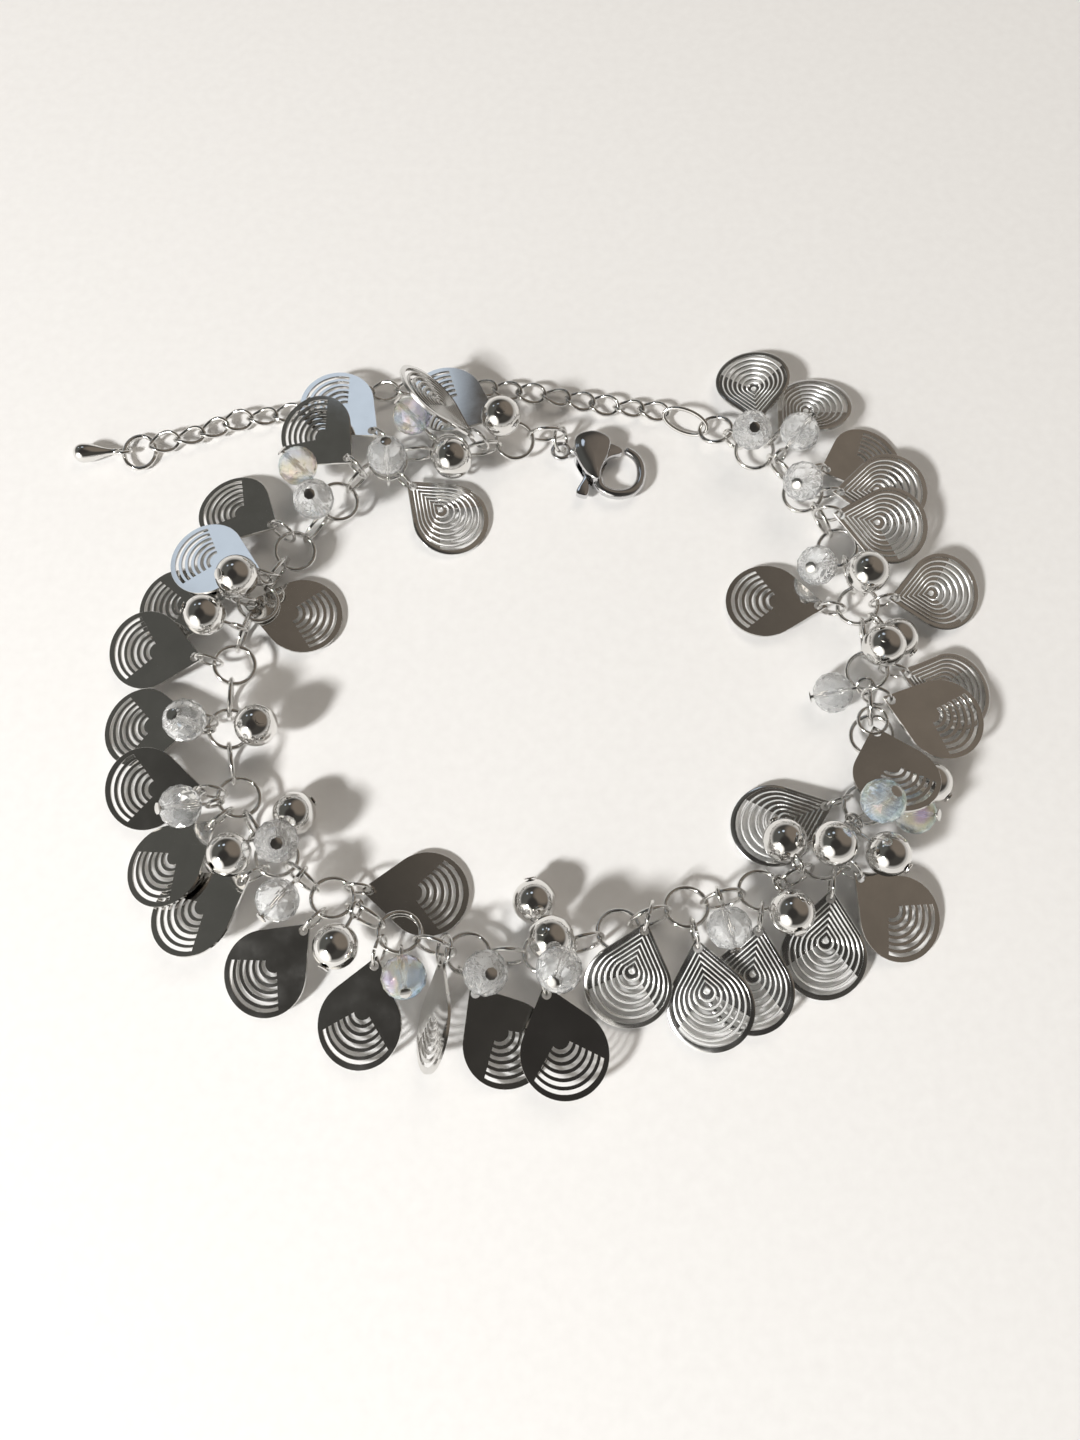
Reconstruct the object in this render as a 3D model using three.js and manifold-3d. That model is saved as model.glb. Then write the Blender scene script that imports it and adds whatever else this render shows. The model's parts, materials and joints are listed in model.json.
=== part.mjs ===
// Fringe bracelet lying open on a flat surface, millimetres, +Z up.
// A chain of round wire links carries thin teardrop charms, steel balls and cut crystals.
// One end has a lobster clasp, the other an end ring and an extension chain with a drop.
import * as THREE from 'three';
import { mergeVertices } from 'three/addons/utils/BufferGeometryUtils.js';
import Module from 'manifold-3d';

const wasm = await Module();
wasm.setup();

// ---------- driving dimensions ----------
const LINK = { outer: 4.2, wire: 0.42, count: 50, perSolid: 5, height: 2.15 };
const PITCH = { joined: 3.42, free: 3.04 }; // link to link: touching, or with running clearance
const TILT = { flat: -16, onEdge: 76 }; // a link's lean about the chain's line, degrees
const CHARM = { length: 9.9, width: 7.7, sheet: 0.4, ringSeat: 0.87 };
const CHARM_RING = { outer: 3, wire: 0.34, reach: 1.95 };
const BEAD = { diameter: 4, pin: 0.44, facets: { ball: [8, 6], crystal: [7, 5] } };
const CLASP = { thick: 2.4, wall: 0.5, lever: 0.8, hook: 0.95, eyeOuter: 2.2, eyeWire: 0.46 };
const HINGE = { x: 5.5, y: 25.55, pinRadius: 0.35, clearance: 0.25, hubRadius: 1.15 };
const EXTENSION = { diameter: 1.8, height: 0.95, sides: 8, steps: 24 };
const TAIL_DROP = { diameter: 2, neck: 0.6, length: 5.1, eyeOuter: 1.9, eyeWire: 0.4, bearing: 185 };
const FLOOR_GAP = 0.05;

const DEGREE = Math.PI / 180;
const UP = new THREE.Vector3(0, 0, 1);

const STEEL = new THREE.MeshStandardMaterial({ color: 0xc9c8c5, roughness: 0.12, metalness: 1 });
const SHEET_PLAIN = new THREE.MeshStandardMaterial({ color: 0x9c948b, roughness: 0.08, metalness: 1 });
const SHEET_RIDGED = new THREE.MeshStandardMaterial({ color: 0xb9bab8, roughness: 0.2, metalness: 1 });

const group = new THREE.Group();

// ---------- joining and cutting ----------
function solid(geometry) {
  const bare = geometry.clone();
  bare.deleteAttribute('normal');
  bare.deleteAttribute('uv');
  const merged = mergeVertices(bare, 1e-4);
  return new wasm.Manifold(new wasm.Mesh({
    numProp: 3,
    vertProperties: merged.attributes.position.array,
    triVerts: new Uint32Array(merged.index.array),
  }));
}

function geometryOf(body) {
  const mesh = body.getMesh();
  const geometry = new THREE.BufferGeometry();
  geometry.setAttribute('position', new THREE.BufferAttribute(mesh.vertProperties, 3));
  geometry.setIndex(new THREE.BufferAttribute(mesh.triVerts, 1));
  geometry.computeVertexNormals();
  return geometry;
}

function join(geometries) {
  return geometries.map(solid).reduce((whole, next) => whole.add(next));
}

function addPiece(name, body, material) {
  const mesh = new THREE.Mesh(body.isBufferGeometry ? body : geometryOf(body), material);
  mesh.name = name;
  group.add(mesh);
}

// ---------- shapes ----------
// The part of a vector that is square to an axis, at length 1.
function inPlane(vector, axis) {
  return vector.clone().addScaledVector(axis, -vector.dot(axis)).normalize();
}

// A local frame: X along, Z as near as possible to the given normal.
function frameMatrix(origin, along, normal) {
  const x = along.clone().normalize();
  const z = inPlane(normal, x);
  const y = z.clone().cross(x);
  return new THREE.Matrix4().makeBasis(x, y, z).setPosition(origin);
}

// A wire ring in its own XY plane; length over width pulls it out into an ellipse along X.
function wireRing(length, width, wire, sides = 4, steps = 12) {
  const geometry = new THREE.TorusGeometry((width - wire) / 2, wire / 2, sides, steps);
  const stretch = (length - width) / 2;
  const at = geometry.attributes.position;
  for (let i = 0; i < at.count; i += 1) {
    const [x, y] = [at.getX(i), at.getY(i)];
    at.setX(i, x + stretch * x / Math.hypot(x, y));
  }
  return geometry;
}

function pinBetween(from, to, diameter) {
  const length = from.distanceTo(to);
  const geometry = new THREE.CylinderGeometry(diameter / 2, diameter / 2, length, 5, 1);
  const turn = new THREE.Quaternion().setFromUnitVectors(
    new THREE.Vector3(0, 1, 0),
    to.clone().sub(from).normalize(),
  );
  geometry.applyQuaternion(turn);
  const middle = from.clone().add(to).multiplyScalar(0.5);
  return geometry.translate(middle.x, middle.y, middle.z);
}

function tubeAlong(points, diameter, sides, steps) {
  const section = new THREE.Shape();
  section.absarc(0, 0, diameter / 2, 0, 2 * Math.PI);
  return new THREE.ExtrudeGeometry(section, {
    steps,
    curveSegments: sides,
    extrudePath: new THREE.CatmullRomCurve3(points),
  });
}

function plate(shape, low, high, curveSegments = 8) {
  const geometry = new THREE.ExtrudeGeometry(shape, {
    depth: high - low,
    bevelEnabled: false,
    curveSegments,
  });
  return geometry.translate(0, 0, low);
}

function polygon(corners) {
  return new THREE.Shape(corners.map(([x, y]) => new THREE.Vector2(x, y)));
}

// ---------- the chain ----------
// Middle line of the chain from the clasp round to the end ring, x and y.
const ROUTE = [
  [2.8, 28.1], [-0.7, 27.9], [-4.1, 26.8], [-8.7, 25.9], [-13.4, 25.6], [-17.4, 23.9],
  [-20.7, 19.8], [-23.7, 15.6], [-26.8, 10.9], [-28.7, 6.1], [-29.4, 2], [-29.4, -2.6],
  [-28.9, -7], [-27.7, -10.9], [-25.2, -14.8], [-21.7, -17.9], [-17.5, -20.5], [-13, -22.7],
  [-8.8, -24.3], [-4.4, -25], [0.4, -24.7], [5.3, -23.4], [9.8, -21.6], [15.2, -20.2],
  [19.8, -19.2], [23.9, -17.5], [27.3, -14.9], [29.9, -11.5], [31, -7], [31.3, -2.6],
  [31.4, 2], [31.3, 6.6], [30.6, 12], [28.8, 17], [26.4, 21.5], [23.6, 25], [20.1, 27.3],
];

function chainLinks() {
  const line = new THREE.CatmullRomCurve3(ROUTE.map(([x, y]) => new THREE.Vector3(x, y, LINK.height)));
  const total = line.getLength();
  const links = [];
  let along = LINK.outer / 2;
  for (let i = 0; i < LINK.count; i += 1) {
    if (i > 0) along += i % LINK.perSolid === 0 ? PITCH.free : PITCH.joined;
    const centre = line.getPointAt(along / total);
    const tangent = line.getTangentAt(along / total);
    const lean = i % 2 === 1 ? TILT.flat : TILT.onEdge;
    const normal = UP.clone().applyAxisAngle(tangent, lean * DEGREE);
    const side = normal.clone().cross(tangent);
    links.push({ centre, tangent, normal, side });
  }
  return links;
}

const links = chainLinks();

// The middle of a link's wire at a place round it, and the wire's direction there: 0 is forward along the
// chain and 90 is the link's side.
function wirePoint(link, place) {
  const radius = (LINK.outer - LINK.wire) / 2;
  const c = Math.cos(place * DEGREE);
  const s = Math.sin(place * DEGREE);
  const point = link.centre.clone()
    .addScaledVector(link.tangent, radius * c)
    .addScaledVector(link.side, radius * s);
  const direction = link.tangent.clone().multiplyScalar(-s).addScaledVector(link.side, c);
  return { point, direction };
}

// The place round a link's wire that is nearest to a point.
function nearestPlace(link, target) {
  const to = target.clone().sub(link.centre);
  return Math.atan2(to.dot(link.side), to.dot(link.tangent)) / DEGREE;
}

// ---------- small drops on the chain ----------
// link: which link carries it; bearing: compass of the drop from the link's centre, degrees from +X;
// out: how far it lies from there; height: of its middle above the surface.
const DROPS = [
  { kind: 'ball', link: 1, bearing: 160, out: 1.4, height: 5.8 },
  { kind: 'ball', link: 3, bearing: 282, out: 2.4, height: 4.9 },
  { kind: 'crystal', link: 3, bearing: 145, out: 4.5, height: 4.9 },
  { kind: 'crystal', link: 5, bearing: 286, out: 1.4, height: 5.4 },
  { kind: 'crystal', link: 7, bearing: 146, out: 4.5, height: 4.8 },
  { kind: 'crystal', link: 7, bearing: 239, out: 2.8, height: 6.9 },
  { kind: 'ball', link: 10, bearing: 220, out: 3.4, height: 6.3 },
  { kind: 'ball', link: 12, bearing: 170, out: 3, height: 5.3 },
  { kind: 'ball', link: 15, bearing: -4, out: 3, height: 4.1 },
  { kind: 'crystal', link: 15, bearing: 193, out: 2.8, height: 6.8 },
  { kind: 'crystal', link: 17, bearing: 200, out: 4.6, height: 5.2 },
  { kind: 'ball', link: 18, bearing: 23, out: 3.8, height: 2.1 },
  { kind: 'ball', link: 18, bearing: 245, out: 3.2, height: 5 },
  { kind: 'crystal', link: 19, bearing: 60, out: 1, height: 4.9 },
  { kind: 'crystal', link: 20, bearing: 240, out: 2.8, height: 4.9 },
  { kind: 'ball', link: 22, bearing: 235, out: 3.6, height: 4.6 },
  { kind: 'crystal', link: 23, bearing: 282, out: 4.2, height: 4.9 },
  { kind: 'crystal', link: 25, bearing: 312, out: 2.6, height: 5.4 },
  { kind: 'ball', link: 27, bearing: 102, out: 4.6, height: 2.1 },
  { kind: 'ball', link: 27, bearing: 60, out: 1, height: 5.3 },
  { kind: 'crystal', link: 28, bearing: 232, out: 3.6, height: 8.1 },
  { kind: 'crystal', link: 32, bearing: 270, out: 2.9, height: 4.6 },
  { kind: 'ball', link: 34, bearing: 255, out: 3.6, height: 4.4 },
  { kind: 'ball', link: 34, bearing: 108, out: 3.2, height: 3.7 },
  { kind: 'ball', link: 35, bearing: 76, out: 0.6, height: 6.5 },
  { kind: 'ball', link: 36, bearing: 320, out: 3.6, height: 4.8 },
  { kind: 'crystal', link: 36, bearing: 46, out: 2.1, height: 8.9 },
  { kind: 'crystal', link: 37, bearing: 342, out: 4, height: 4.2 },
  { kind: 'ball', link: 39, bearing: 318, out: 6.8, height: 2.1 },
  { kind: 'crystal', link: 40, bearing: 160, out: 3.6, height: 2.1 },
  { kind: 'ball', link: 41, bearing: 60, out: 1.4, height: 5.7 },
  { kind: 'ball', link: 43, bearing: -44, out: 4.9, height: 2.1 },
  { kind: 'ball', link: 43, bearing: 96, out: 1.5, height: 6.6 },
  { kind: 'crystal', link: 45, bearing: 226, out: 3.7, height: 3.7 },
  { kind: 'crystal', link: 47, bearing: 210, out: 0.8, height: 5.2 },
  { kind: 'crystal', link: 48, bearing: 60, out: 2.6, height: 5.6 },
  { kind: 'crystal', link: 49, bearing: 153, out: 0.9, height: 5.3 },
];

function dropGeometries(index) {
  const parts = [];
  for (const drop of DROPS.filter((row) => row.link === index)) {
    const link = links[index];
    const centre = new THREE.Vector3(
      link.centre.x + drop.out * Math.cos(drop.bearing * DEGREE),
      link.centre.y + drop.out * Math.sin(drop.bearing * DEGREE),
      drop.height,
    );
    const bead = new THREE.SphereGeometry(BEAD.diameter / 2, ...BEAD.facets[drop.kind]);
    bead.translate(centre.x, centre.y, centre.z);
    const hold = wirePoint(link, nearestPlace(link, centre)).point;
    parts.push(bead, pinBetween(hold, centre, BEAD.pin));
  }
  return parts;
}

function addChain() {
  for (let first = 0; first < LINK.count; first += LINK.perSolid) {
    const parts = [];
    for (let i = first; i < first + LINK.perSolid; i += 1) {
      const { centre, tangent, normal } = links[i];
      const ring = wireRing(LINK.outer, LINK.outer, LINK.wire);
      parts.push(ring.applyMatrix4(frameMatrix(centre, tangent, normal)));
      parts.push(...dropGeometries(i));
    }
    addPiece(`chain_${first / LINK.perSolid + 1}`, join(parts), STEEL);
  }
}

// ---------- teardrop charms ----------
// up: which face shows; link and place: the wire that its ring is threaded on; heading: compass from
// its tip to its round end, degrees from +X; rest: height of its round end; roll: lean about its long axis;
// hang: how far below level the plate sits on its ring, degrees.
const CHARMS = [
  { up: 'plain', link: 5, place: -105, heading: 138, rest: 2.2, roll: 0 },
  { up: 'plain', link: 6, place: 90, heading: 134, rest: 2.7, roll: -14 },
  { up: 'ridged', link: 2, place: 90, heading: 140, rest: 7.4, roll: 48 },
  { up: 'plain', link: 5, place: 104, heading: -40, rest: 0.3, roll: 0 },
  { up: 'plain', link: 1, place: -90, heading: 155, rest: 2.3, roll: 0 },
  { up: 'plain', link: 9, place: -120, heading: 150, rest: 0.3, roll: 0 },
  { up: 'plain', link: 10, place: 70, heading: 163, rest: 2.1, roll: 0 },
  { up: 'plain', link: 11, place: -98, heading: 189, rest: 0.3, roll: 0 },
  { up: 'plain', link: 13, place: -90, heading: 168, rest: 1.35, roll: -10 },
  { up: 'plain', link: 11, place: -70, heading: -9, rest: 0.3, roll: 0, hang: 75 },
  { up: 'plain', link: 15, place: -115, heading: 182, rest: 0.3, roll: 0 },
  { up: 'plain', link: 17, place: -125, heading: 176, rest: 1.5, roll: -12 },
  { up: 'plain', link: 17, place: -55, heading: 222, rest: 1.3, roll: 15 },
  { up: 'plain', link: 19, place: -90, heading: 213, rest: 1.9, roll: 12 },
  { up: 'plain', link: 21, place: -90, heading: 226, rest: 0.3, roll: 0 },
  { up: 'plain', link: 21, place: 62, heading: -3, rest: 0.3, roll: 0, hang: 45 },
  { up: 'plain', link: 23, place: -120, heading: 256, rest: 1, roll: 10 },
  { up: 'plain', link: 24, place: 60, heading: 264, rest: 3.8, roll: 66 },
  { up: 'plain', link: 25, place: -92, heading: 303, rest: 0.3, roll: 0 },
  { up: 'plain', link: 27, place: -112, heading: 287, rest: 2.4, roll: 8 },
  { up: 'ridged', link: 30, place: 90, heading: 253, rest: 0.4, roll: 0 },
  { up: 'ridged', link: 31, place: -90, heading: 281, rest: 1.3, roll: 14 },
  { up: 'ridged', link: 33, place: -110, heading: 260, rest: 1, roll: 12 },
  { up: 'ridged', link: 35, place: -105, heading: 262, rest: 0.3, roll: 0 },
  { up: 'plain', link: 35, place: -50, heading: 316, rest: 0.3, roll: 0 },
  { up: 'ridged', link: 37, place: 94, heading: 199, rest: 0.3, roll: 0 },
  { up: 'plain', link: 40, place: 78, heading: 341, rest: 3.1, roll: 0 },
  { up: 'ridged', link: 41, place: -90, heading: 345, rest: 0.3, roll: 0 },
  { up: 'ridged', link: 43, place: -90, heading: 12, rest: 1.2, roll: 14 },
  { up: 'ridged', link: 46, place: 90, heading: -8, rest: 2.6, roll: 14 },
  { up: 'ridged', link: 47, place: -128, heading: 5, rest: 2, roll: 8 },
  { up: 'plain', link: 47, place: -55, heading: 22, rest: 0.3, roll: 0 },
  { up: 'ridged', link: 49, place: -72, heading: 90, rest: 1.2, roll: -12 },
  { up: 'ridged', link: 49, place: -120, heading: 44, rest: 1.2, roll: -12 },
  { up: 'plain', link: 43, place: 90, heading: 170, rest: 0.3, roll: 0 },
  { up: 'plain', link: 40, place: 138, heading: 279, rest: 6.9, roll: 0 },
];

// A teardrop with its tip at 0,0 and its round end towards +X.
function teardropShape(length, width) {
  const radius = width / 2;
  const middle = length - radius;
  const halfAngle = Math.asin(radius / middle);
  const flank = Math.PI / 2 + halfAngle;
  const shape = new THREE.Shape();
  shape.moveTo(0, 0);
  shape.lineTo(middle + radius * Math.cos(flank), -radius * Math.sin(flank));
  shape.absarc(middle, 0, radius, -flank, flank, false);
  shape.closePath();
  return shape;
}

// The plate hangs on its ring; the ring runs round the link's wire and through the plate's eyelet.
function charmBody({ link, place, heading, rest, roll, hang = 0 }) {
  const { point: wire, direction: wireAlong } = wirePoint(links[link], place);
  const outward = new THREE.Vector3(Math.cos(heading * DEGREE), Math.sin(heading * DEGREE), 0);
  const ringRadius = (CHARM_RING.outer - CHARM_RING.wire) / 2;
  const ringMiddle = wire.clone().addScaledVector(outward, CHARM_RING.reach - ringRadius);
  const seat = ringMiddle.clone()
    .addScaledVector(outward, ringRadius * Math.cos(hang * DEGREE))
    .addScaledVector(UP, -ringRadius * Math.sin(hang * DEGREE));
  const drop = Math.asin((seat.z - rest) / (CHARM.length - CHARM.ringSeat));
  const along = outward.clone().multiplyScalar(Math.cos(drop)).addScaledVector(UP, -Math.sin(drop));
  const normal = inPlane(UP, along).applyAxisAngle(along, roll * DEGREE);
  const tip = seat.clone().addScaledVector(along, -CHARM.ringSeat);
  const sheet = plate(teardropShape(CHARM.length, CHARM.width), -CHARM.sheet / 2, CHARM.sheet / 2, 7);
  sheet.applyMatrix4(frameMatrix(tip, along, normal));
  const ring = wireRing(CHARM_RING.outer, CHARM_RING.outer, CHARM_RING.wire, 4, 8);
  ring.applyMatrix4(frameMatrix(ringMiddle, outward, wireAlong));
  return join([sheet, ring]);
}

function addCharms() {
  CHARMS.forEach((row, index) => {
    const name = `charm_${String(index + 1).padStart(2, '0')}_${row.up}`;
    addPiece(name, charmBody(row), row.up === 'plain' ? SHEET_PLAIN : SHEET_RIDGED);
  });
}

// ---------- lobster clasp ----------
// Outlines are about the lever's pivot, x and y.
const SHIELD = [
  [-1.6, 2.4], [0.1, 2.9], [1.7, 2], [1.6, 0.5], [0.75, -1.7], [0.55, -2.7], [-0.2, -2.6], [-1.8, 0],
  [-1.95, 1.5],
];
const SLOT = [
  [-0.9, 1.3], [0, 1.6], [1.2, 3.2], [4, 3.2], [4, -1.3], [1.3, -1.3], [0.75, -1.4], [0.25, -1.65],
  [-0.05, -2.6], [-0.3, -5], [-5, -5], [-5, -0.9], [-1.5, -0.1], [-1.5, 0.6],
];
const HOOK = [
  [0.45, -2.3], [0.65, -3.05], [1.35, -3.7], [2.6, -4], [3.9, -3.65], [4.75, -2.6], [4.95, -1.3],
  [4.75, -0.2], [4.3, 0.5], [3.6, 1.05],
];
const NOSE = [[0, 1.1], [1.6, 1.8], [3, 1.1], [2.9, 0.65], [1.7, 0.2], [0.6, -0.9]];
const TAIL = [[0.5, -0.4], [2.4, -0.34], [4.3, -0.58], [4.45, 0], [4.3, 0.58], [2.4, 0.34], [0.5, 0.4]];
const TAIL_BEARING = -107;
const EYE = { x: -3.3, y: 1.09, neck: 0.6 };

function disc(radius, low, high, segments) {
  const geometry = new THREE.CylinderGeometry(radius, radius, high - low, segments);
  return geometry.rotateX(Math.PI / 2).translate(0, 0, (low + high) / 2);
}

function claspBody() {
  const middle = CLASP.thick / 2;
  const gap = solid(plate(polygon(SLOT), CLASP.wall, CLASP.thick - CLASP.wall));
  const shield = solid(plate(polygon(SHIELD), 0, CLASP.thick)).subtract(gap);
  const eye = wireRing(CLASP.eyeOuter, CLASP.eyeOuter, CLASP.eyeWire, 6, 16).translate(EYE.x, EYE.y, middle);
  const neck = pinBetween(
    new THREE.Vector3(EYE.x + CLASP.eyeOuter / 2 - CLASP.eyeWire / 2, EYE.y, middle),
    new THREE.Vector3(SHIELD[0][0], EYE.y, middle),
    EYE.neck,
  );
  const hook = tubeAlong(HOOK.map(([x, y]) => new THREE.Vector3(x, y, middle)), CLASP.hook, 8, 24);
  const pin = disc(HINGE.pinRadius, CLASP.wall / 2, CLASP.thick - CLASP.wall / 2, 14);
  return shield.add(join([eye, neck, hook, pin])).translate(HINGE.x, HINGE.y, 0);
}

function claspLever() {
  const low = (CLASP.thick - CLASP.lever) / 2;
  const high = low + CLASP.lever;
  const tail = plate(polygon(TAIL), low, high).rotateZ(TAIL_BEARING * DEGREE);
  const arms = join([disc(HINGE.hubRadius, low, high, 24), plate(polygon(NOSE), low, high), tail]);
  const bore = solid(disc(HINGE.pinRadius + HINGE.clearance, 0, CLASP.thick, 20));
  return arms.subtract(bore).translate(HINGE.x, HINGE.y, 0);
}

// ---------- rings, extension chain and end drop ----------
// size: length, width and wire; at: the middle's x, y and z; turn: compass of the long side, then how far
// the face tips and the compass it tips towards, in degrees.
const RINGS = [
  { name: 'clasp_jump_ring', size: [3.06, 3.06, 0.36], at: [2.16, 27.76, 1.71], turn: [78, 65, -12] },
  { name: 'end_jump_ring', size: [2.8, 2.8, 0.4], at: [20.04, 27.49, 2.08], turn: [140, 90, 50] },
  { name: 'end_ring', size: [3.8, 3.8, 0.45], at: [18.3, 28.95, 1.62], turn: [-40, 14, 140] },
  { name: 'oval_link', size: [5.3, 2.8, 0.45], at: [15.25, 30.2, 1.2], turn: [-25, 47, 245] },
  { name: 'tail_ring', size: [4.3, 3.7, 0.45], at: [-41.8, 26.9, 0.57], turn: [90, 6, 0] },
];

function looseRing({ size, at, turn }) {
  const [length, width, wire] = size;
  const [heading, tip, towards] = turn.map((degrees) => degrees * DEGREE);
  const tipAxis = new THREE.Vector3(-Math.sin(towards), Math.cos(towards), 0);
  const normal = UP.clone().applyAxisAngle(tipAxis, tip);
  const along = new THREE.Vector3(Math.cos(heading), Math.sin(heading), 0);
  const ring = wireRing(length, width, wire, 6, 18);
  return ring.applyMatrix4(frameMatrix(new THREE.Vector3(...at), inPlane(along, normal), normal));
}

// Route of the extension chain from the end ring to the tail ring, x and y.
const EXTENSION_ROUTE = [
  [12.2, 31.6], [7.6, 32.2], [2.1, 33.3], [-3.2, 34.1], [-9.6, 34.8], [-14.9, 34.3], [-20.1, 33.3],
  [-26.3, 31.4], [-32, 30.4], [-35.6, 28.9], [-39.4, 27.8],
];

// The drop's eye goes round the tail ring's wire, and its round end lies on the surface.
const TAIL_EYE = { x: -43.44, y: 26.88, z: 0.8 };

function tailDrop() {
  const radius = TAIL_DROP.diameter / 2;
  const from = TAIL_DROP.eyeOuter / 2 - TAIL_DROP.eyeWire;
  const rollEye = new THREE.Vector3(0, -1, 1);
  const ring = wireRing(TAIL_DROP.eyeOuter, TAIL_DROP.eyeOuter, TAIL_DROP.eyeWire, 5, 12);
  ring.applyMatrix4(frameMatrix(new THREE.Vector3(), new THREE.Vector3(1, 0, 0), rollEye));
  const taper = TAIL_DROP.length - from - radius;
  const cone = new THREE.CylinderGeometry(radius * 0.94, TAIL_DROP.neck / 2, taper, 10);
  cone.rotateZ(-Math.PI / 2).translate(from + taper / 2, 0, 0);
  const bulb = new THREE.SphereGeometry(radius, 10, 8).translate(TAIL_DROP.length - radius, 0, 0);
  const body = join([ring, cone, bulb]);
  const fall = Math.asin((TAIL_EYE.z - radius - FLOOR_GAP) / (TAIL_DROP.length - radius));
  const turned = body.rotate([0, fall / DEGREE, 0]).rotate([0, 0, TAIL_DROP.bearing]);
  return turned.translate(TAIL_EYE.x, TAIL_EYE.y, TAIL_EYE.z);
}

function addEnds() {
  addPiece('clasp_body', claspBody(), STEEL);
  addPiece('clasp_lever', claspLever(), STEEL);
  for (const row of RINGS) {
    addPiece(row.name, looseRing(row), STEEL);
  }
  const route = EXTENSION_ROUTE.map(([x, y]) => new THREE.Vector3(x, y, EXTENSION.height));
  addPiece('extension_chain', tubeAlong(route, EXTENSION.diameter, EXTENSION.sides, EXTENSION.steps), STEEL);
  addPiece('tail_drop', tailDrop(), STEEL);
}

// The lowest point lands on z = 0 and the middle of the plan on the origin.
function centre() {
  const box = new THREE.Box3().setFromObject(group);
  const middle = box.getCenter(new THREE.Vector3());
  for (const mesh of group.children) {
    mesh.geometry.translate(-middle.x, -middle.y, -box.min.z);
  }
}

addChain();
addCharms();
addEnds();
centre();

export default group;
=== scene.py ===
# %% [markdown]
# # Fringe bracelet lying open on a table
# The bracelet is a chain of round wire links. Thin stamped teardrops, polished balls and cut crystals hang
# from it, with a lobster clasp at one end and an extension chain at the other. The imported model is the
# fixed frame: it says where every piece is. This script replaces its plain solids with finished pieces.

# %% Load the frame and keep its box
import bmesh
import bpy
import json
import math
import numpy as np
from mathutils import Matrix, Vector


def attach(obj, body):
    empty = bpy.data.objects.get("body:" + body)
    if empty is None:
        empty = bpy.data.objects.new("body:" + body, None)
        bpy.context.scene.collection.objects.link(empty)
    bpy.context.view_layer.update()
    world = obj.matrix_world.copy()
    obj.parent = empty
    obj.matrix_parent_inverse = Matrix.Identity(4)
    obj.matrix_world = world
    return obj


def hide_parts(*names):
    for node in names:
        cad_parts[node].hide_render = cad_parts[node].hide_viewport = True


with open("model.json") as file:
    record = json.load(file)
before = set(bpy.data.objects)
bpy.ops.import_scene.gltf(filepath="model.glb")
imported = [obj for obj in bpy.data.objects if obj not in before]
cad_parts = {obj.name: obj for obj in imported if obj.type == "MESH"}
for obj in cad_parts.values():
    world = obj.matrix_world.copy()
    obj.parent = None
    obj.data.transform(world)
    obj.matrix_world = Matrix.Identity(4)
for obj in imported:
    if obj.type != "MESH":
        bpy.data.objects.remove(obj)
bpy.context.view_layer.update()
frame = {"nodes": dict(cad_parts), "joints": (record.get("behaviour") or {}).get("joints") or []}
MM = 0.001
UP = Vector((0, 0, 1))
TOUCH = 0.002 * MM  # places nearer to each other than this count as one
UPWARD = 0.99  # a face looks straight up when its normal's Z is past this

# %% [markdown]
# Tables in the script are in millimetres about the chain's own middle line, as the part's source has them.
# The clasp's hinge is in both, so the step from one to the other is worked out from it.

# %% Step from the tables to the frame
HINGE = Vector((5.5, 25.55, 0))
HINGE_PLACE = Vector(frame["joints"][0]["pos_m"]) / MM
SHIFT = Vector((HINGE_PLACE.x, HINGE_PLACE.y, 0)) - HINGE


def at(x, y, z=0.0):
    """A point of the tables, in the frame's metres."""
    return (Vector((x, y, z)) + SHIFT) * MM


print("shift mm", [round(v, 3) for v in SHIFT])

# %% [markdown]
# ## Camera
# The camera looks down steeply from in front, close to the bracelet, so things near the bottom of the view
# are a little larger. Its height and angle above the table are set once and everything else follows.

# %% Camera
CAMERA = {"height": 100, "back": 35.05, "elevation": 71.9, "lens": 27.2, "sensor": 36, "nearest": 10}


def add_camera():
    """The camera stands on the tables' middle line and looks along +Y, down at the table."""
    data = bpy.data.cameras.new("camera")
    data.sensor_fit = "VERTICAL"
    data.sensor_height = CAMERA["sensor"]
    data.lens = CAMERA["lens"]
    data.clip_start = CAMERA["nearest"] * MM
    camera = bpy.data.objects.new("camera", data)
    camera.location = at(0, -CAMERA["back"], CAMERA["height"])
    camera.rotation_euler = (math.radians(90 - CAMERA["elevation"]), 0, 0)
    bpy.context.scene.collection.objects.link(camera)
    bpy.context.scene.camera = camera


add_camera()
print("camera mm", [round(v / MM, 1) for v in bpy.context.scene.camera.location])

# %% [markdown]
# ## Helpers for editing a piece
# Blender's edit-mode operators work on whatever is selected. So each piece is opened with nothing selected,
# and its corners, edges or faces are then picked by their place or by the way they face.

# %% Editing helpers
def deselect():
    for piece in bpy.context.selected_objects:
        piece.select_set(False)


def choose(*pieces):
    """Selects these pieces alone; the first is the active one."""
    deselect()
    for piece in pieces:
        piece.select_set(True)
    bpy.context.view_layer.objects.active = pieces[0]


def open_piece(piece, everything=False):
    """Starts editing one piece, with nothing of it selected or everything."""
    choose(piece)
    bpy.ops.object.mode_set(mode="EDIT")
    bpy.ops.mesh.select_mode(type="VERT")
    bpy.ops.mesh.select_all(action="SELECT" if everything else "DESELECT")


def pick_all():
    bpy.ops.mesh.select_all(action="SELECT")


def close_piece(outward=False):
    """Ends editing; outward first turns every face outwards."""
    if outward:
        pick_all()
        bpy.ops.mesh.normals_make_consistent(inside=False)
    bpy.ops.object.mode_set(mode="OBJECT")


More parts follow.
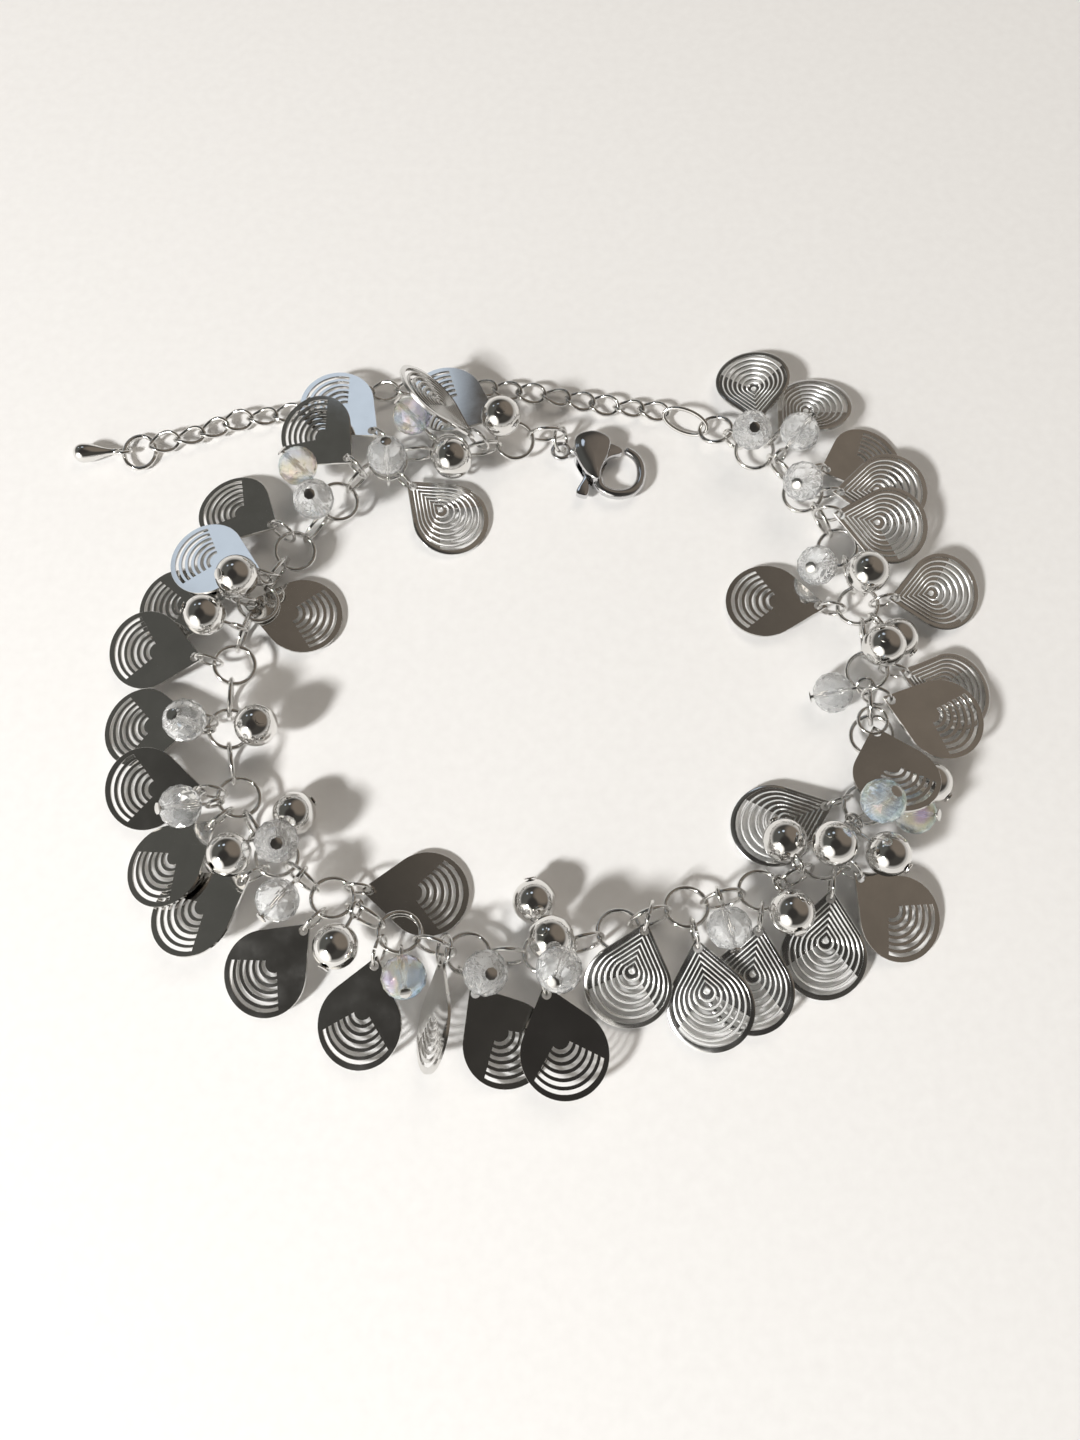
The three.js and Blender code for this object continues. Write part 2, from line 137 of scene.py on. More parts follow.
def pick(kind, test):
    """Selects what passes the test; kind is VERT, EDGE or FACE. Gives the number picked."""
    bpy.ops.mesh.select_mode(type=kind)
    bpy.ops.mesh.select_all(action="DESELECT")
    mesh = bmesh.from_edit_mesh(bpy.context.edit_object.data)
    rows = {"VERT": mesh.verts, "EDGE": mesh.edges, "FACE": mesh.faces}[kind]
    count = 0
    for row in rows:
        if test(row):
            row.select_set(True)
            count += 1
    mesh.select_flush_mode()
    bmesh.update_edit_mesh(bpy.context.edit_object.data)
    return count


def fresh(name):
    """Names the piece that an operator has just made."""
    piece = bpy.context.object
    piece.name = name
    piece.data.name = name
    return piece


print("selected after loading", len(bpy.context.selected_objects))

# %% [markdown]
# ## Materials
# Nearly everything is polished steel, so what shows is mostly what it mirrors. A perfect mirror looks
# computed, though: real polish has fine scratches and faint clouding. Noise on Object coordinates varies
# the roughness, and a stretched noise cuts very shallow scratches.

# %% Nodes and a cloudy tint
def set_inputs(node, **values):
    """Sets a node's inputs; _ in a name stands for a space."""
    for name, value in values.items():
        node.inputs[name.replace("_", " ")].default_value = value


def add_node(nodes, kind, **values):
    node = nodes.new("ShaderNode" + kind)
    set_inputs(node, **values)
    return node


def feed(source, output, target, entry):
    """Joins one node's output to another's input."""
    source.id_data.links.new(source.outputs[output], target.inputs[entry])


def new_material(name):
    material = bpy.data.materials.new(name)
    material.use_nodes = True
    nodes = material.node_tree.nodes
    return material, nodes, nodes["Principled BSDF"]


def cloudy_tint(nodes, surface, scale, detail, stops):
    """Colours a surface by noise on Object coordinates; stops are (place, colour) along the noise."""
    where = add_node(nodes, "TexCoord")
    cloud = add_node(nodes, "TexNoise", Scale=scale, Detail=detail)
    feed(where, "Object", cloud, "Vector")
    tint = add_node(nodes, "ValToRGB")
    spread = tint.color_ramp.elements
    for end, (place, colour) in zip((spread[0], spread[1]), (stops[0], stops[-1])):
        end.position = place
        end.color = (*colour, 1)
    for place, colour in stops[1:-1]:
        spread.new(place).color = (*colour, 1)
    feed(cloud, "Fac", tint, "Fac")
    feed(tint, "Color", surface, "Base Color")
    return where, cloud


print("materials so far", len(bpy.data.materials))

# %% Polished steel
CLOUDING = {"scale": 420, "detail": 4, "darkest": 0.9, "tint_over": (0.3, 0.7), "rough_over": (0.35, 0.7)}
SCRATCHES = {"turn": 0.6, "scale": (900, 12000, 6000), "detail": 2, "depth": 0.01}


def steel(name, colour, rough, scratch, metal=1):
    """Steel: rough is (least, most) roughness, and scratch the depth of its fine scratches."""
    material, nodes, surface = new_material(name)
    set_inputs(surface, Metallic=metal)
    tints = ([c * CLOUDING["darkest"] for c in colour], colour)
    stops = list(zip(CLOUDING["tint_over"], tints))
    where, cloud = cloudy_tint(nodes, surface, CLOUDING["scale"], CLOUDING["detail"], stops)
    low, high = CLOUDING["rough_over"]
    polish = add_node(nodes, "MapRange", From_Min=low, From_Max=high, To_Min=rough[0], To_Max=rough[1])
    feed(cloud, "Fac", polish, "Value")
    feed(polish, "Result", surface, "Roughness")
    turn = (0, 0, SCRATCHES["turn"])
    stretch = add_node(nodes, "Mapping", Rotation=turn, Scale=SCRATCHES["scale"])
    lines = add_node(nodes, "TexNoise", Scale=1, Detail=SCRATCHES["detail"])
    bump = add_node(nodes, "Bump", Strength=scratch, Distance=SCRATCHES["depth"] * MM)
    feed(where, "Object", stretch, "Vector")
    feed(stretch, "Vector", lines, "Vector")
    feed(lines, "Fac", bump, "Height")
    feed(bump, "Normal", surface, "Normal")
    return material


WIRE_STEEL = steel("wire_steel", (0.80, 0.79, 0.77), (0.05, 0.14), 0.10)
BALL_STEEL = steel("ball_steel", (0.86, 0.85, 0.83), (0.02, 0.05), 0.02)
SHEET_STEEL = steel("sheet_steel", (0.74, 0.73, 0.71), (0.04, 0.10), 0.05)
RIDGE_STEEL = steel("ridge_steel", (0.84, 0.84, 0.83), (0.10, 0.22), 0.12)
# The crest steel is whiter and less metallic than the ridge steel: a painted highlight on the crests, over a
# satin roughness.
CREST_HIGHLIGHT_STEEL = steel("crest_highlight_steel", (0.97, 0.97, 0.96), (0.42, 0.55), 0.15, metal=0.6)
CLASP_STEEL = steel("clasp_steel", (0.72, 0.72, 0.73), (0.05, 0.12), 0.05)
print("steels", [m.name for m in bpy.data.materials if "steel" in m.name])

# %% [markdown]
# The crystals are cut glass. Some have a rainbow coating, a film so thin that it shows blue from one side
# and yellow from another. The shader's thin film gives that shift, and a soft noise tints the body.

# %% Cut glass, clear and rainbow
GLASS = {"clear": 0.80, "rough": 0.015, "bends": 1.62, "film_bends": 1.8, "scale": 260, "detail": 2}


def glass(name, stops, film):
    """Cut glass: stops are the colours that its cloudy body tint runs through, film its coating in nm."""
    material, nodes, surface = new_material(name)
    set_inputs(surface, Transmission_Weight=GLASS["clear"], Roughness=GLASS["rough"], IOR=GLASS["bends"])
    set_inputs(surface, Thin_Film_Thickness=film, Thin_Film_IOR=GLASS["film_bends"])
    cloudy_tint(nodes, surface, GLASS["scale"], GLASS["detail"], stops)
    return material


CLEAR_GLASS = glass("clear_glass", [(0.35, (0.97, 0.97, 0.97)), (0.65, (0.92, 0.94, 0.95))], 0)
RAINBOW = [(0.35, (0.55, 0.75, 1)), (0.45, (0.85, 0.93, 1)), (0.55, (1, 0.93, 0.7)), (0.65, (0.9, 0.7, 1))]
RAINBOW_GLASS = glass("rainbow_glass", RAINBOW, 420)
print("glasses", CLEAR_GLASS.name, RAINBOW_GLASS.name)

# %% [markdown]
# ## Rings of wire
# Chain links and jump rings are bent from round wire. The spin operator does just that: a small circle is
# the wire's section, and it is swept round. A soldered link closes on itself and keeps a slight bead of
# solder. A jump ring stops short, and its two ends face each other across a hairline gap.

# %% Wire rings
SOLDER_SWELL = 1.25
CRISP = {"wire": 50, "ball": 40, "sheet": 40, "clasp": 42}  # edges sharper than this stay crisp, in degrees


def smooth(piece, degrees, *materials):
    """Shades a piece smooth, but keeps edges sharper than this angle crisp, and gives it materials."""
    choose(piece)
    bpy.ops.object.shade_smooth_by_angle(angle=math.radians(degrees))
    for material in materials:
        piece.data.materials.append(material)


def triangles(piece):
    return sum(len(face.vertices) - 2 for face in piece.data.polygons)


def wire_ring(name, outer, wire, gap=0.0, solder=False, around=32, section=8):
    """A ring of wire in the XY plane, sizes in millimetres; gap is its opening in degrees."""
    deselect()
    reach = (outer - wire) / 2 * MM
    bpy.ops.mesh.primitive_circle_add(
        vertices=section, radius=wire / 2 * MM, location=(reach, 0, 0), rotation=(math.pi / 2, 0, 0)
    )
    ring = fresh(name)
    bpy.ops.object.transform_apply(location=True, rotation=True)
    open_piece(ring, everything=True)
    bpy.ops.mesh.spin(steps=around, angle=math.radians(360 - gap), center=(0, 0, 0), axis=(0, 0, 1))
    pick_all()
    bpy.ops.mesh.remove_doubles(threshold=TOUCH)
    if gap:
        bpy.ops.mesh.fill_holes(sides=0)
    if solder:
        pick("VERT", lambda v: v.co.x < 0 and abs(v.co.y) < TOUCH)
        bpy.ops.transform.resize(value=(SOLDER_SWELL, 1, SOLDER_SWELL), center_override=(-reach, 0, 0))
    close_piece(outward=True)
    smooth(ring, CRISP["wire"])
    return ring


def pull_oval(ring, length, width):
    """Pulls a round ring out along X into an ellipse, one section at a time, so that the wire stays round."""
    half = (length - width) / 2 * MM
    sections = {}
    for v in ring.data.vertices:
        angle = round(math.atan2(v.co.y, v.co.x), 3)
        sections.setdefault(angle, set()).add(v.index)
    open_piece(ring)
    for angle, section in sections.items():
        pick("VERT", lambda v: v.index in section)
        bpy.ops.transform.translate(value=(half * math.cos(angle), 0, 0))
    close_piece()


LINK = {"outer": 4.2, "wire": 0.42, "count": 50, "per_piece": 5, "height": 2.15}
link_pattern = wire_ring("link_pattern", LINK["outer"], LINK["wire"], solder=True, around=40, section=10)
link_pattern.data.materials.append(WIRE_STEEL)
print("link triangles", triangles(link_pattern))

# %% [markdown]
# ## Where the chain runs
# The route is the chain's middle line, the same points as in the part's source. A smooth curve
# through them is measured off link by link. Links lie flat and on edge in turn, as a chain does at rest.

# %% The chain's route
ROUTE = [
    (2.8, 28.1), (-0.7, 27.9), (-4.1, 26.8), (-8.7, 25.9), (-13.4, 25.6), (-17.4, 23.9),
    (-20.7, 19.8), (-23.7, 15.6), (-26.8, 10.9), (-28.7, 6.1), (-29.4, 2), (-29.4, -2.6),
    (-28.9, -7), (-27.7, -10.9), (-25.2, -14.8), (-21.7, -17.9), (-17.5, -20.5), (-13, -22.7),
    (-8.8, -24.3), (-4.4, -25), (0.4, -24.7), (5.3, -23.4), (9.8, -21.6), (15.2, -20.2),
    (19.8, -19.2), (23.9, -17.5), (27.3, -14.9), (29.9, -11.5), (31, -7), (31.3, -2.6),
    (31.4, 2), (31.3, 6.6), (30.6, 12), (28.8, 17), (26.4, 21.5), (23.6, 25), (20.1, 27.3),
]


def smooth_line(points, closed=False, steps=24):
    """Points close together on a centripetal Catmull-Rom curve through the given points."""
    p = [np.array(q, float) for q in points]
    if closed:
        p = [p[-1]] + p + [p[0], p[1]]
    else:
        p = [2 * p[0] - p[1]] + p + [2 * p[-1] - p[-2]]
    line = []
    for a, b, c, d in zip(p, p[1:], p[2:], p[3:]):
        ab, bc, cd = (math.sqrt(np.linalg.norm(v - u)) for u, v in ((a, b), (b, c), (c, d)))
        leave = ((b - a) / ab - (c - a) / (ab + bc) + (c - b) / bc) * bc
        arrive = ((c - b) / bc - (d - b) / (bc + cd) + (d - c) / cd) * bc
        for k in range(steps):
            t = k / steps
            line.append(
                b + leave * t + (3 * (c - b) - 2 * leave - arrive) * t**2
                + (2 * (b - c) + leave + arrive) * t**3
            )
    if not closed:
        line.append(p[-2])
    return line


def walk(line, distances, look=0.05):
    """The points at these distances along a line and its directions there, taken over a look either way."""
    line = np.array(line)
    run = np.concatenate([[0], np.cumsum(np.linalg.norm(np.diff(line, axis=0), axis=1))])
    found = []
    for d in distances:
        here, ahead, behind = (
            Vector([np.interp(x, run, line[:, k]) for k in range(line.shape[1])])
            for x in (d, d + look, d - look)
        )
        found.append((here.to_3d(), (ahead - behind).to_3d().normalized()))
    return found


route_line = smooth_line(ROUTE)
print("route mm", round(sum(np.linalg.norm(b - a) for a, b in zip(route_line, route_line[1:])), 1))

# %% The links along it
PITCH = {"joined": 3.42, "free": 3.04}
LEAN = {"flat": -16, "on_edge": 76}


def basis(origin, along, normal):
    """A place as a matrix: X along, Z as near as possible to the normal."""
    x = along.normalized()
    z = (normal - x * normal.dot(x)).normalized()
    y = z.cross(x)
    turn = Matrix((x, y, z)).transposed().to_4x4()
    return Matrix.Translation(origin) @ turn


def copy_of(pattern, name, place):
    """One more piece like the pattern, with its own mesh, put where the matrix says."""
    mesh = pattern.data.copy()
    mesh.transform(place)
    piece = bpy.data.objects.new(name, mesh)
    bpy.context.scene.collection.objects.link(piece)
    return piece


def chain_links():
    """Each link's centre, the chain's direction there, the link's face and its side."""
    distances = [LINK["outer"] / 2]
    for i in range(1, LINK["count"]):
        step = PITCH["free"] if i % LINK["per_piece"] == 0 else PITCH["joined"]
        distances.append(distances[-1] + step)
    links = []
    for i, (point, along) in enumerate(walk(route_line, distances)):
        lean = LEAN["flat"] if i % 2 else LEAN["on_edge"]
        face = Matrix.Rotation(math.radians(lean), 3, along) @ UP
        centre = at(point.x, point.y, LINK["height"])
        links.append({"centre": centre, "along": along, "face": face, "side": face.cross(along)})
    return links


LINKS = chain_links()
chain_metal = {n: [] for n in range(LINK["count"] // LINK["per_piece"])}
for i, link in enumerate(LINKS):
    place = basis(link["centre"], link["along"], link["face"])
    chain_metal[i // LINK["per_piece"]].append(copy_of(link_pattern, f"link_{i}", place))
print("links", len(LINKS), "last centre mm", [round(v / MM, 2) for v in LINKS[-1]["centre"]])

# %% [markdown]
# ## Balls and crystals
# Each bead sits on a head pin: a wire with a flat head below, pushed through the drilled bead and bent into
# a loop round one chain link. A pin is made once, pointing up, and a copy is made longer or shorter by
# sliding its loop. The balls are drilled too, so both poles get a small countersunk hole.

# %% The head pin
BEAD = {"diameter": 4, "wire": 0.38, "loop": 1.9, "pin_reach": 4, "head": 1.1}
BEAD_RADIUS = BEAD["diameter"] / 2
PIN_PAST_BEAD = 0.05
HEAD_STEPS = [(0.02, BEAD["head"] / BEAD["wire"]), (0.1, 1), (0.05, 0.7)]  # how far down, how much wider
LOOP_GAP = 8


def extrude(rise=0, size=(1, 1, 1), middle=(0, 0, 0)):
    """Extrudes what is selected, lifts it by some millimetres and scales it about a place."""
    bpy.ops.mesh.extrude_region_move(TRANSFORM_OT_translate={"value": (0, 0, rise * MM)})
    bpy.ops.transform.resize(value=size, center_override=middle)


def joined(name, pieces):
    """Several meshes as one piece."""
    choose(*pieces)
    bpy.ops.object.join()
    return fresh(name)


def rod(name, sides, radius, length, middle):
    """A round rod along Z, with the x and z of its middle, all in millimetres."""
    deselect()
    x, z = middle
    bpy.ops.mesh.primitive_cylinder_add(
        vertices=sides, radius=radius * MM, depth=length * MM, location=(x * MM, 0, z * MM)
    )
    bpy.ops.object.transform_apply(location=True)
    return fresh(name)


def head_pin():
    """A pin up the Z axis through a bead at the origin; the link's wire goes through its loop."""
    loop_middle = BEAD["pin_reach"] - (BEAD["loop"] / 2 - BEAD["wire"] - LINK["wire"] / 2)
    top = loop_middle - BEAD["loop"] / 2 + BEAD["wire"] / 2
    low = -BEAD_RADIUS - PIN_PAST_BEAD
    pin = rod("head_pin", 8, BEAD["wire"] / 2, top - low, (0, (top + low) / 2))
    open_piece(pin)
    pick("FACE", lambda f: f.normal.z < -UPWARD)
    for fall, wider in HEAD_STEPS:
        extrude(-fall, (wider, wider, 1))
    close_piece()
    loop = wire_ring("loop", BEAD["loop"], BEAD["wire"], gap=LOOP_GAP, around=22)
    stand = Matrix.Translation((0, 0, loop_middle * MM)) @ Matrix.Rotation(math.pi / 2, 4, "X")
    loop.data.transform(stand @ Matrix.Rotation(math.radians(LOOP_GAP / 2 - 90), 4, "Z"))
    whole = joined("head_pin", [pin, loop])
    smooth(whole, CRISP["wire"], WIRE_STEEL)
    return whole


pin_pattern = head_pin()
print("head pin triangles", triangles(pin_pattern))

# %% The polished ball
POLE = 0.999  # a sphere's corners past this share of its radius are its poles
DRILL_STEPS = [(0.85, 0.85, 0.93), (1, 1, 0.6)]  # from the hole's rim to its bottom


def ball():
    """A steel ball drilled along Z."""
    deselect()
    bpy.ops.mesh.primitive_uv_sphere_add(segments=40, ring_count=24, radius=BEAD_RADIUS * MM)
    whole = fresh("ball")
    open_piece(whole)
    pick("VERT", lambda v: abs(v.co.z) > POLE * BEAD_RADIUS * MM)
    bpy.ops.mesh.delete(type="VERT")
    pick("EDGE", lambda e: e.is_boundary)
    for size in DRILL_STEPS:
        extrude(size=size)
    pick_all()
    bpy.ops.mesh.fill_holes(sides=0)
    close_piece(outward=True)
    smooth(whole, CRISP["ball"], BALL_STEEL)
    return whole


ball_pattern = ball()
print("ball triangles", triangles(ball_pattern))

# %% [markdown]
# A cut crystal is a round bead ground into rows of triangles. Turning every other row of corners by half
# a step makes the rows of a sphere into such triangles, and flat shading keeps each facet's edge crisp.

# %% The cut crystal
CRYSTAL = {"sides": 12, "rows": 8, "squash": 0.94, "pole": 0.93, "pole_cut": 0.35}


def crystal():
    deselect()
    bpy.ops.mesh.primitive_uv_sphere_add(
        segments=CRYSTAL["sides"], ring_count=CRYSTAL["rows"], radius=BEAD_RADIUS * MM
    )
    whole = fresh("crystal")
    row_angle = math.pi / CRYSTAL["rows"]
    open_piece(whole)
    pick("VERT", lambda v: round(v.co.angle(UP) / row_angle) % 2 == 1)
    bpy.ops.transform.rotate(
        value=math.pi / CRYSTAL["sides"], orient_axis="Z", center_override=(0, 0, 0)
    )
    pick_all()
    bpy.ops.transform.resize(value=(1, 1, CRYSTAL["squash"]), center_override=(0, 0, 0))
    bpy.ops.mesh.quads_convert_to_tris(quad_method="SHORTEST_DIAGONAL")
    pick("VERT", lambda v: abs(v.co.z) > CRYSTAL["pole"] * BEAD_RADIUS * MM)
    bpy.ops.mesh.bevel(offset=CRYSTAL["pole_cut"] * MM, affect="VERTICES")
    close_piece(outward=True)
    return whole


crystal_pattern = crystal()
print("crystal triangles", triangles(crystal_pattern))

# %% [markdown]
# The table gives each bead's place about the link that carries it: the compass bearing and distance of its
# middle from the link's middle, and its height above the table. "R" marks the rainbow crystals.

# %% Place the beads
BALLS = [  # link, bearing, out, height
    (1, 160, 1.4, 5.8), (3, 282, 2.4, 4.9), (10, 220, 3.4, 6.3), (12, 170, 3, 5.3), (15, -4, 3, 4.1),
    (18, 23, 3.8, 2.1), (18, 245, 3.2, 5), (22, 235, 3.6, 4.6), (27, 102, 4.6, 2.1), (27, 60, 1, 5.3),
    (34, 255, 3.6, 4.4), (34, 108, 3.2, 3.7), (35, 76, 0.6, 6.5), (36, 320, 3.6, 4.8), (39, 318, 6.8, 2.1),
    (41, 60, 1.4, 5.7), (43, -44, 4.9, 2.1), (43, 96, 1.5, 6.6),
]
CRYSTALS = [  # link, bearing, out, height, coating
    (3, 145, 4.5, 4.9, "R"), (5, 286, 1.4, 5.4, ""), (7, 146, 4.5, 4.8, "R"), (7, 239, 2.8, 6.9, ""),
    (15, 193, 2.8, 6.8, ""), (17, 200, 4.6, 5.2, ""), (19, 60, 1, 4.9, ""), (20, 240, 2.8, 4.9, ""),
    (23, 282, 4.2, 4.9, "R"), (25, 312, 2.6, 5.4, ""), (28, 232, 3.6, 8.1, ""), (32, 270, 2.9, 4.6, ""),
    (36, 46, 2.1, 8.9, "R"), (37, 342, 4, 4.2, "R"), (40, 160, 3.6, 2.1, ""), (45, 226, 3.7, 3.7, ""),
    (47, 210, 0.8, 5.2, ""), (48, 60, 2.6, 5.6, ""), (49, 153, 0.9, 5.3, ""),
]


def bead_place(link, bearing, out, height):
    """Where a bead sits, as a matrix with Z towards the wire that holds it, and how far off that wire is."""
    centre = link["centre"].copy()
    centre.x += out * MM * math.cos(math.radians(bearing))
    centre.y += out * MM * math.sin(math.radians(bearing))
    centre.z = height * MM
    to = centre - link["centre"]
    turn = math.atan2(to.dot(link["side"]), to.dot(link["along"]))
    spoke = link["along"] * math.cos(turn) + link["side"] * math.sin(turn)
    hold = link["centre"] + spoke * (LINK["outer"] - LINK["wire"]) / 2 * MM
    across = link["side"] * math.cos(turn) - link["along"] * math.sin(turn)
    z = (hold - centre).normalized()
    y = (across - z * across.dot(z)).normalized()
    place = Matrix((y.cross(z), y, z)).transposed().to_4x4()
    return Matrix.Translation(centre) @ place, (hold - centre).length / MM


def add_bead(number, kind, pattern, material, row):
    """Puts a bead in place, and its pin with the metal of the link that carries it."""
    place, reach = bead_place(LINKS[row[0]], *row[1:4])
    bead = copy_of(pattern, f"{kind}_{number:02d}", place)
    bead.data.materials.clear()
    bead.data.materials.append(material)
    pin = copy_of(pin_pattern, f"{kind}_pin", Matrix.Identity(4))
    for corner in pin.data.vertices:
        if corner.co.z > BEAD_RADIUS * MM:
            corner.co.z += (reach - BEAD["pin_reach"]) * MM
    pin.data.transform(place)
    chain_metal[row[0] // LINK["per_piece"]].append(pin)
    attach(bead, "bracelet")
    return reach


reaches = []
for n, row in enumerate(BALLS):
    reaches.append(add_bead(n + 1, "ball", ball_pattern, BALL_STEEL, row))
for n, row in enumerate(CRYSTALS):
    cut_glass = RAINBOW_GLASS if row[4] else CLEAR_GLASS
    reaches.append(add_bead(n + 1, "crystal", crystal_pattern, cut_glass, row))
print("beads", len(reaches), "pin reach mm", round(min(reaches), 2), "to", round(max(reaches), 2))

# %% Join the chain's metal, five links to a piece
for n, parts in chain_metal.items():
    piece = joined(f"links_{n + 1:02d}", parts)
    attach(piece, "bracelet")
    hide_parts(f"chain_{n + 1}")
print("chain pieces", len(chain_metal))

# %% [markdown]
# ## Stamped teardrops
# A teardrop is a thin steel sheet. One face is stamped into seven nested ridges, which close in on a point
# just short of the middle. In the round half the sheet is pierced between the ridges, and the ridges'
# pointed half is fine milgrain, like a row of grains. The other face is a flat mirror that shows only the
# pierced arcs. The outline is extruded inward ring by ring, each ring scaled towards that point.

# %% The teardrop's outline
SHEET = {"length": 9.9, "width": 7.7, "thick": 0.4, "eye": 4.5, "hole": 0.84, "hole_at": 0.87}
ROUND_RADIUS = SHEET["width"] / 2
ROUND_MIDDLE = SHEET["length"] - ROUND_RADIUS
TIP_HALF = math.asin(ROUND_RADIUS / ROUND_MIDDLE)
FLANK_LENGTH = math.sqrt(ROUND_MIDDLE**2 - ROUND_RADIUS**2)


def outline_points(flank_steps, round_steps):
    """The outline from the tip, once round: two straight flanks and the round end, x and y."""
    flank = [FLANK_LENGTH * k / flank_steps for k in range(flank_steps)]
    lower = [(d * math.cos(TIP_HALF), -d * math.sin(TIP_HALF)) for d in flank]
    start = math.pi / 2 + TIP_HALF
    turn = [start * (2 * k / round_steps - 1) for k in range(round_steps + 1)]
    end = [(ROUND_MIDDLE + ROUND_RADIUS * math.cos(a), ROUND_RADIUS * math.sin(a)) for a in turn]
    return lower + end + [(x, -y) for x, y in reversed(lower[1:])]


def share_out(x, y):
    """How far out a place is, from 0 at the ridges' eye to 1 on the outline, and its bearing in degrees."""
    reach = math.hypot(x - SHEET["eye"], y)
    bearing = math.atan2(y, x - SHEET["eye"])
    c, s = math.cos(bearing), math.sin(abs(bearing))
    flank_reach = SHEET["eye"] * math.tan(TIP_HALF) / max(1e-6, s - c * math.tan(TIP_HALF))
    offset = ROUND_MIDDLE - SHEET["eye"]
    round_reach = offset * c + math.sqrt(ROUND_RADIUS**2 - (offset * s) ** 2)
    on_flank = c < 0 and flank_reach * s < ROUND_RADIUS * math.cos(TIP_HALF)
    return reach / (flank_reach if on_flank else round_reach), math.degrees(bearing)


print("outline points", len(outline_points(16, 44)), "flank mm", round(FLANK_LENGTH, 2))

# %% The relief across the sheet
RIDGE = {"count": 7, "outer": 0.9, "pitch": 0.125, "groove": 0.065}
LEVEL = {"back": -0.2, "floor": -0.02, "edge": 0.06, "rim": 0.1, "shoulder": 0.13, "crest": 0.2}
RIM_SHARES = (0.984, 0.912)


def ridge_profile(fine):
    """The relief from the rim to the eye, as (share of the way out, height)."""
    rows = [(share, LEVEL["rim"]) for share in RIM_SHARES]
    ridge = RIDGE["pitch"] - RIDGE["groove"]
    top = [(0.2, "shoulder"), (0.5, "crest"), (0.8, "shoulder")] if fine else [(0.5, "crest")]
    for k in range(RIDGE["count"]):
        start = RIDGE["outer"] - k * RIDGE["pitch"]
        foot = start - RIDGE["groove"]
        rows += [(start, LEVEL["floor"]), (foot, LEVEL["floor"])]
        rows += [(foot - part * ridge, LEVEL[level]) for part, level in top]
    return rows


print("relief steps", len(ridge_profile(fine=True)), "and", len(ridge_profile(fine=False)))

# %% Stamp and pierce the sheet
PIERCED = {"half_turn": 47, "level_within": 0.01, "share_within": 0.02}


def closed_line(name, points, fill="NOTHING"):
    """A primitive circle with its corners put in these places, in millimetres."""
    deselect()
    bpy.ops.mesh.primitive_circle_add(vertices=len(points), radius=MM, fill_type=fill)
    piece = fresh(name)
    for corner, place in zip(piece.data.vertices, points):
        corner.co = [v * MM for v in place]
    return piece


def stamped_sheet(name, flank_steps, round_steps, fine):
    """A teardrop sheet, ridges up, with its tip at the origin and its round end along X."""
    share, height = 1, LEVEL["edge"]
    sheet = closed_line(name, [(x, y, height) for x, y in outline_points(flank_steps, round_steps)])
    open_piece(sheet, everything=True)
    for next_share, next_height in ridge_profile(fine):
        step = next_share / share
        extrude(next_height - height, (step, step, 1), (SHEET["eye"] * MM, 0, 0))
        share, height = next_share, next_height
    bpy.ops.mesh.edge_face_add()
    pierce_sheet()
    pick_all()
    extrude(-SHEET["thick"], (1, 1, 0), (0, 0, LEVEL["back"] * MM))
    close_piece(outward=True)
    return sheet


def pierce_sheet():
    """Cuts the grooves through in the round half, except the innermost one."""
    first = RIDGE["outer"] - RIDGE["groove"] / 2
    grooves = [first - k * RIDGE["pitch"] for k in range(RIDGE["count"] - 1)]

    def in_slot(face):
        middle = face.calc_center_median() / MM
        share, bearing = share_out(middle.x, middle.y)
        low = abs(middle.z - LEVEL["floor"]) < PIERCED["level_within"]
        in_groove = min(abs(share - g) for g in grooves) < PIERCED["share_within"]
        return low and in_groove and abs(bearing) < PIERCED["half_turn"]

    pick("FACE", in_slot)
    bpy.ops.mesh.delete(type="FACE")


ridged_pattern = stamped_sheet("ridged_pattern", 34, 60, fine=True)
plain_pattern = stamped_sheet("plain_pattern", 14, 44, fine=False)
print("faces", len(ridged_pattern.data.polygons), "ridged,", len(plain_pattern.data.polygons), "plain")

# %% Grain the ridges
GRAIN = {"drop": 0.1, "above": 0.15, "past_bearing": 70}


def grain_ridges(sheet):
    """Milgrain: on the pointed half every other corner of a crest sits lower."""
    lowered = 0
    for corner in sheet.data.vertices:
        x, y, z = corner.co / MM
        bearing = share_out(x, y)[1]
        if z > GRAIN["above"] and abs(bearing) > GRAIN["past_bearing"] and corner.index % 2:
            corner.co.z -= GRAIN["drop"] * MM
            lowered += 1
    return lowered


print("corners lowered", grain_ridges(ridged_pattern))

# %% Drill the sheets
THROUGH = 3  # longer than any plate is thick


def apply_modifier(piece, kind, **settings):
    choose(piece)
    modifier = piece.modifiers.new(kind.lower(), kind)
    for key, value in settings.items():
        setattr(modifier, key, value)
    bpy.ops.object.modifier_apply(modifier=modifier.name)


def combine(operation, body, *others):
    """Welds other solids to a body by UNION, or cuts them out of it by DIFFERENCE."""
    for other in others:
        apply_modifier(body, "BOOLEAN", operation=operation, object=other, solver="EXACT")
        bpy.data.objects.remove(other)


for sheet in (ridged_pattern, plain_pattern):
    combine("DIFFERENCE", sheet, rod("drill", 24, SHEET["hole"] / 2, THROUGH, (SHEET["hole_at"], 0)))
    print(sheet.name, "faces", len(sheet.data.polygons))

# %% Ease the back edges
EASED = {"offset": 0.035, "sharp": 1}


def ease_back_edges(sheet):
    """A fine chamfer round the flat face and its slots, which catches the light."""
    def edge_of_back(edge):
        flat = all(abs(v.co.z - LEVEL["back"] * MM) < TOUCH for v in edge.verts)
        return flat and len(edge.link_faces) == 2 and abs(edge.calc_face_angle()) > EASED["sharp"]

    open_piece(sheet)
    count = pick("EDGE", edge_of_back)
    bpy.ops.mesh.bevel(offset=EASED["offset"] * MM, segments=1, clamp_overlap=True)
    close_piece()
    return count


